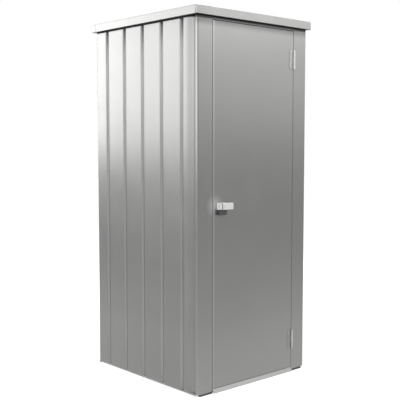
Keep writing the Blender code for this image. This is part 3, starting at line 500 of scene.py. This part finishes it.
STEEL = dict(colour=(0.56, 0.57, 0.58), grain=(1500.0, 1500.0, 30.0), rough=(0.24, 0.36), metallic=0.85)
DECK = dict(colour=(0.22, 0.22, 0.215), grain=(12.0, 12.0, 12.0), rough=(0.82, 0.92), metallic=0.1)
PLUG = dict(colour=(0.60, 0.60, 0.59), grain=(1200.0, 60.0, 1200.0), rough=(0.34, 0.42), metallic=0.25)

paint = painted_sheet("silver_coat")
wall_paint = painted_sheet("silver_coat_walls", wall_film)
front_paint = painted_sheet("silver_coat_front", front_film)
roof_paint = painted_sheet("silver_coat_roof", roof_film)
head_paint = painted_sheet("silver_coat_head", head_film)
shade_strip_rubber = rubber()
zinc = galvanised()
lever_metal = lever_aluminium()
bright_steel = grained_metal("bright_plated_steel", **STEEL)
hinge_metal = hinge_steel()
deck_metal = grained_metal("weathered_deck", **DECK)
sill_metal = sill_sheet()
plug_metal = grained_metal("plug_nickel", **PLUG)
plastic = moulded_plastic()

FINISH = {
    "silver_metallic_paint": paint,
    "galvanised_steel": zinc,
    "satin_aluminium": lever_metal,
    "plain_steel": bright_steel,
    "plated_brass": plug_metal,
    "dark_plastic": plastic,
}


def dress(name, material):
    nodes[name].material_slots[0].material = material


for part in frame["record"]["subparts"]:
    dress(part["node"], FINISH[part["material_slot"]])
dress("door_sill", sill_metal)
dress("head_strip", head_paint)
dress("roof_deck", deck_metal)
for name in ("wall_left", "wall_right", "wall_rear"):
    dress(name, wall_paint)
for name in ("post_left", "post_right", "door_skin"):
    dress(name, front_paint)
for word in ("upper", "lower"):
    dress("hinge_%s_door_leaf" % word, hinge_metal)
    dress("hinge_%s_frame_leaf" % word, hinge_metal)
for name in nodes:
    if name.startswith("fascia_"):
        dress(name, roof_paint)


# Pieces

SHARP_EDGE = math.radians(40)


def smooth_piece(name, work, material):
    """Turn a bmesh into an object with smooth faces and sharp edges."""
    bmesh.ops.recalc_face_normals(work, faces=work.faces)
    mesh = bpy.data.meshes.new(name)
    work.to_mesh(mesh)
    work.free()
    mesh.shade_smooth()
    mesh.set_sharp_from_angle(angle=SHARP_EDGE)
    mesh.materials.append(material)
    piece = bpy.data.objects.new(name, mesh)
    bpy.context.scene.collection.objects.link(piece)
    return piece


# Small fasteners: a profile's points are (radius, height) in millimetres and start on the axis

RIVET = ((0, 0), (3.0, 0), (3.0, 0.25), (2.7, 0.8), (2.1, 1.25), (1.35, 1.5), (1.1, 1.5), (0.9, 1.05),
         (0, 1.0))
SCREW = ((0, 0), (3.6, 0), (3.6, 0.2), (3.3, 0.75), (2.4, 1.25), (1.5, 1.4), (1.5, 0.5), (0, 0.5))
WELD = ((0, 0), (2.8, 0), (2.6, 0.12), (1.9, 0.16), (1.4, 0.06), (0, 0.05))
ROUND_STEPS = 16
WELD_STEPS = 12
TO_FRONT = (0, -1, 0)
TO_REAR = (0, 1, 0)


def revolve(work, profile, steps, centre, direction):
    """Add a turned form to a bmesh, with its axis from the centre in a direction."""
    turn = Vector((0, 0, 1)).rotation_difference(Vector(direction)).to_matrix()
    rings = []
    for radius, height in profile:
        if radius == 0:
            rings.append([work.verts.new(centre + turn @ Vector((0, 0, height)))])
            continue
        ring = []
        for step in range(steps):
            angle = 2 * math.pi * step / steps
            spoke = Vector((radius * math.cos(angle), radius * math.sin(angle), height))
            ring.append(work.verts.new(centre + turn @ spoke))
        rings.append(ring)
    for lower, upper in zip(rings, rings[1:]):
        for step in range(steps):
            after = (step + 1) % steps
            if len(lower) == 1:
                work.faces.new((lower[0], upper[after], upper[step]))
            elif len(upper) == 1:
                work.faces.new((lower[step], lower[after], upper[0]))
            else:
                work.faces.new((lower[step], lower[after], upper[after], upper[step]))


def fasteners(name, profile, places, direction, body, material, steps=ROUND_STEPS):
    """One mesh that holds a row of equal rivets, screws or weld spots."""
    work = bmesh.new()
    scaled = [(radius * MM, height * MM) for radius, height in profile]
    for place in places:
        revolve(work, scaled, steps, Vector(place), direction)
    piece = smooth_piece(name, work, material)
    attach(piece, body)


def spaced(low, high, count):
    return [low + (high - low) * step / (count - 1) for step in range(count)]


HINGE_LEAF_FACE = 1.8 * MM
HINGE_SCREW_INSET = 11 * MM
HINGE_SCREW_PITCH = 32 * MM


def hinge_screws():
    for word in ("upper", "lower"):
        low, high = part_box("hinge_%s_door_leaf" % word)
        middle = (low.z + high.z) / 2
        heights = [middle + step * HINGE_SCREW_PITCH for step in (-1, 0, 1)]
        places = [(low.x + HINGE_SCREW_INSET, FRONT - HINGE_LEAF_FACE, height) for height in heights]
        fasteners("hinge_%s_screws" % word, SCREW, places, TO_FRONT, "door", hinge_metal)


SEAM_RIVETS_ACROSS = HALF_BODY - 43 * MM
SEAM_RIVET_MARGIN = 60 * MM
SEAM_RIVET_COUNT = 7


def rear_rivets():
    """Rivets down the rear seams, where the side walls lap the rear wall."""
    low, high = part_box("wall_left")
    heights = spaced(low.z + SEAM_RIVET_MARGIN, high.z - SEAM_RIVET_MARGIN, SEAM_RIVET_COUNT)
    for side, word in SIDES:
        name = "rear_seam_rivets_" + word
        places = [(side * SEAM_RIVETS_ACROSS, REAR, height) for height in heights]
        fasteners(name, RIVET, places, TO_REAR, "carcass", paint)


SIDE_GROOVES = 5
FIRST_GROOVE = FRONT + 113 * MM
GROOVE_PITCH = 151 * MM
SHELF_COUNT = 3
RAIL_SHEET = 1.5 * MM
RAIL_RIVET_HEIGHT = 17 * MM


def rail_rivets():
    """Rivets that hold the shelf rails on the floors of the grooves that they cross."""
    for side, word in SIDES:
        places = []
        for number in range(1, SHELF_COUNT + 1):
            low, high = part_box("shelf_rail_%s_%d" % (word, number))
            web = (high.x if side > 0 else low.x) - side * RAIL_SHEET
            for index in range(SIDE_GROOVES):
                depth = FIRST_GROOVE + index * GROOVE_PITCH
                if low.y < depth < high.y:
                    places.append((web, depth, low.z + RAIL_RIVET_HEIGHT))
        inwards = (-side, 0, 0)
        fasteners("shelf_rail_rivets_" + word, RIVET, places, inwards, "carcass", bright_steel)


STIFFENER_SHEET = 1 * MM
WELD_EDGE = 5 * MM
WELD_END = 15 * MM
WELD_COUNT = 7


def door_welds():
    """Spot welds along the stiffeners' flanges, seen with the door open."""
    places = []
    for word in ("lower", "middle", "upper"):
        low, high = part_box("door_stiffener_" + word)
        for height in (low.z + WELD_EDGE, high.z - WELD_EDGE):
            for across in spaced(low.x + WELD_END, high.x - WELD_END, WELD_COUNT):
                places.append((across, low.y + STIFFENER_SHEET, height))
    fasteners("door_stiffener_welds", WELD, places, TO_REAR, "door", zinc, WELD_STEPS)


TOOL_RAIL_SCREW_INSET = 20 * MM


def tool_rail_screws():
    low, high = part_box("tool_rail")
    ends = (low.x + TOOL_RAIL_SCREW_INSET, high.x - TOOL_RAIL_SCREW_INSET)
    places = [(across, high.y, (low.z + high.z) / 2) for across in ends]
    fasteners("tool_rail_screws", SCREW, places, TO_REAR, "door", bright_steel)


# Dark strip between the walls and the roof, which stands in for the shade in that gap

STRIP_INSET = 1.5 * MM
STRIP_WIDTH = 6 * MM
STRIP_GAP = 0.3 * MM
FRONT_CORNER = 85 * MM
FRONT_CORNER_INSET = 1.8 * MM
FRONT_CORNER_ANGLES = (-80, 0)
FRONT_CORNER_POINTS = 9
REAR_CORNER = 22 * MM
REAR_CORNER_ANGLES = (0, 90)
REAR_CORNER_POINTS = 7
CORNER_TOP = FASCIA_BOTTOM + 10 * MM
SIDE_TOP = FASCIA_BOTTOM + 4 * MM
REAR_TOP = FASCIA_BOTTOM - STRIP_GAP
CORNER_END = 10 * MM
SIDE_END = REAR - 37 * MM
REAR_START = REAR - 32 * MM


def corner_arc(centre, radius, angles, count, top):
    """Points round a corner, from the first angle to the last, in degrees from straight across."""
    points = []
    for angle in spaced(angles[0], angles[1], count):
        turn = math.radians(angle)
        points.append((centre[0] + radius * math.cos(turn), centre[1] + radius * math.sin(turn), top))
    return points


def strip_line(inset):
    """Points (across, along, top) just inside the walls' faces, from the right front corner by the rear."""
    front = (HALF_BODY - FRONT_CORNER, FRONT + FRONT_CORNER_INSET + FRONT_CORNER)
    rear = (HALF_BODY - REAR_CORNER, REAR - REAR_CORNER)
    face = HALF_BODY - inset
    line = corner_arc(front, FRONT_CORNER - inset, FRONT_CORNER_ANGLES, FRONT_CORNER_POINTS, CORNER_TOP)
    line += [(face, front[1] + CORNER_END, SIDE_TOP), (face, SIDE_END, SIDE_TOP)]
    line += [(face, REAR_START, REAR_TOP)]
    line += corner_arc(rear, REAR_CORNER - inset, REAR_CORNER_ANGLES, REAR_CORNER_POINTS, REAR_TOP)
    return line + [(-across, along, top) for across, along, top in reversed(line)]


def wall_head_shade_strip():
    """Dark rubber strip on the walls' top edges that closes the gap below the roof's sides and rear, standing
    in for the shade in that gap.
    """
    work = bmesh.new()
    low = WALL_TOP + STRIP_GAP
    rings = []
    for outer, inner in zip(strip_line(STRIP_INSET), strip_line(STRIP_INSET + STRIP_WIDTH)):
        corners = [(outer[0], outer[1], low), outer, inner, (inner[0], inner[1], low)]
        rings.append([work.verts.new(corner) for corner in corners])
    for ring, after in zip(rings, rings[1:]):
        for index in range(len(ring)):
            follow = (index + 1) % len(ring)
            work.faces.new((ring[index], ring[follow], after[follow], after[index]))
    work.faces.new(rings[0])
    work.faces.new(reversed(rings[-1]))
    piece = smooth_piece("wall_head_shade_strip", work, shade_strip_rubber)
    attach(piece, "carcass")


wall_head_shade_strip()
hinge_screws()
rear_rivets()
rail_rivets()
door_welds()
tool_rail_screws()


# Camera

LENS = 69.27
SENSOR_WIDTH = 36.0
CAMERA_REACH = 100.0
CAMERA_PLACE = (-2.7269, FRONT - 2.6622, 1.1925)
CAMERA_DROP = 4.137
CAMERA_TURN = -41.631


def place_camera():
    """Camera at the photograph's viewing angle, fitted to the corners of the body, roof, door and sill."""
    data = bpy.data.cameras.new("camera")
    data.lens = LENS
    data.sensor_width = SENSOR_WIDTH
    data.clip_end = CAMERA_REACH
    camera = bpy.data.objects.new("camera", data)
    bpy.context.scene.collection.objects.link(camera)
    camera.location = CAMERA_PLACE
    camera.rotation_euler = (math.radians(90 - CAMERA_DROP), 0, math.radians(CAMERA_TURN))
    bpy.context.scene.camera = camera


# White background and floor

AMBIENT = 0.08
WHITE = (1.0, 1.0, 1.0, 1.0)
FLOOR_SIZE = 40.0
FLOOR_COLOUR = (0.55, 0.55, 0.55, 1.0)
FLOOR_WHITE_NEAR = 0.64
FLOOR_NEAR = 0.7
FLOOR_FAR = 2.4


def seen_as_background(tree):
    """One where a camera, mirror or glass ray asks, nought for the light that falls on the object."""
    path = tree.add("ShaderNodeLightPath")
    shine = tree.maths("MAXIMUM", path.outputs["Is Camera Ray"], path.outputs["Is Glossy Ray"])
    return tree.maths("MAXIMUM", shine, path.outputs["Is Transmission Ray"])


def make_world():
    world = bpy.data.worlds.new("studio")
    bpy.context.scene.world = world
    tree = Shader(world)
    background = tree.add("ShaderNodeBackground")
    background.inputs["Color"].default_value = WHITE
    tree.link(tree.spread(seen_as_background(tree), AMBIENT, 1.0), background.inputs["Strength"])
    output = tree.add("ShaderNodeOutputWorld")
    tree.link(background.outputs["Background"], output.inputs["Surface"])


def make_floor():
    """Pale floor: a diffuse share takes the shadow, and a plain white share is there for the background."""
    made, tree, space = new_material("studio_floor")
    matte = tree.add("ShaderNodeBsdfDiffuse")
    matte.inputs["Color"].default_value = FLOOR_COLOUR
    away = tree.distance(space, (0.0, 0.0, 0.0))
    white = tree.spread(away, FLOOR_WHITE_NEAR, 1.0, FLOOR_NEAR, FLOOR_FAR)
    glow = tree.add("ShaderNodeEmission")
    tree.link(tree.product(seen_as_background(tree), white), glow.inputs["Strength"])
    both = tree.add("ShaderNodeAddShader")
    tree.link(matte.outputs["BSDF"], both.inputs[0])
    tree.link(glow.outputs["Emission"], both.inputs[1])
    output = tree.add("ShaderNodeOutputMaterial")
    tree.link(both.outputs["Shader"], output.inputs["Surface"])
    work = bmesh.new()
    bmesh.ops.create_grid(work, x_segments=1, y_segments=1, size=FLOOR_SIZE / 2)
    mesh = bpy.data.meshes.new("studio_floor")
    work.to_mesh(mesh)
    work.free()
    mesh.materials.append(made)
    floor = bpy.data.objects.new("studio_floor", mesh)
    bpy.context.scene.collection.objects.link(floor)


# Lamps: name, place, aim, size and watts

LAMPS = (
    ("left_box_far", (-2.2, 4.0, 2.2), (-0.38, 0.2, 2.2), (1.6, 2.2), 79.0),
    ("left_box_near", (-3.3, 2.6, 2.2), (-0.38, 0.0, 2.2), (1.6, 2.2), 44.0),
    ("left_box_side", (-3.7, 1.0, 2.2), (-0.38, -0.3, 2.2), (1.8, 2.2), 39.0),
    ("left_box_front", (-3.9, -0.9, 2.2), (-0.38, -0.3, 2.2), (1.8, 2.2), 49.0),
    ("groove_fill", (-2.0, -3.9, 2.4), (-0.35, -0.2, 1.3), (1.4, 1.6), 41.0),
    ("steep_front", (0.7, -1.3, 3.4), (0.0, -0.4, 1.5), (1.2, 0.6), 51.0),
    ("key", (-1.6, -1.35, 3.7), (-0.2, -0.4, 1.0), (0.5, 0.5), 20.0),
    ("right_box_high", (2.9, -3.2, 3.1), (0.0, -0.4, 1.4), (2.4, 1.5), 51.0),
    ("right_box_mid", (2.9, -3.2, 1.8), (0.0, -0.4, 1.6), (2.4, 1.0), 10.5),
    ("rear_left", (-1.5, 1.7, 2.4), (-0.3, 0.3, 1.2), (1.0, 1.0), 2.7),
    ("rear_right", (2.6, 3.0, 2.4), (0.2, 0.3, 1.4), (2.2, 1.8), 30.0),
    ("right_side", (3.4, 0.2, 2.5), (0.38, 0.0, 1.5), (2.0, 1.6), 20.0),
    ("overhead", (0.0, 0.0, 4.2), (0.0, 0.0, 0.0), (2.5, 2.5), 12.0),
)


def soft_light(name, place, aim, size, power):
    data = bpy.data.lights.new(name, "AREA")
    data.shape = "RECTANGLE"
    data.size, data.size_y = size
    data.energy = power
    lamp = bpy.data.objects.new(name, data)
    bpy.context.scene.collection.objects.link(lamp)
    lamp.location = place
    lamp.rotation_euler = (Vector(aim) - Vector(place)).to_track_quat("-Z", "Y").to_euler()
    lamp.visible_camera = False


place_camera()
make_world()
make_floor()
for settings in LAMPS:
    soft_light(*settings)
bpy.context.scene.view_settings.view_transform = "Standard"
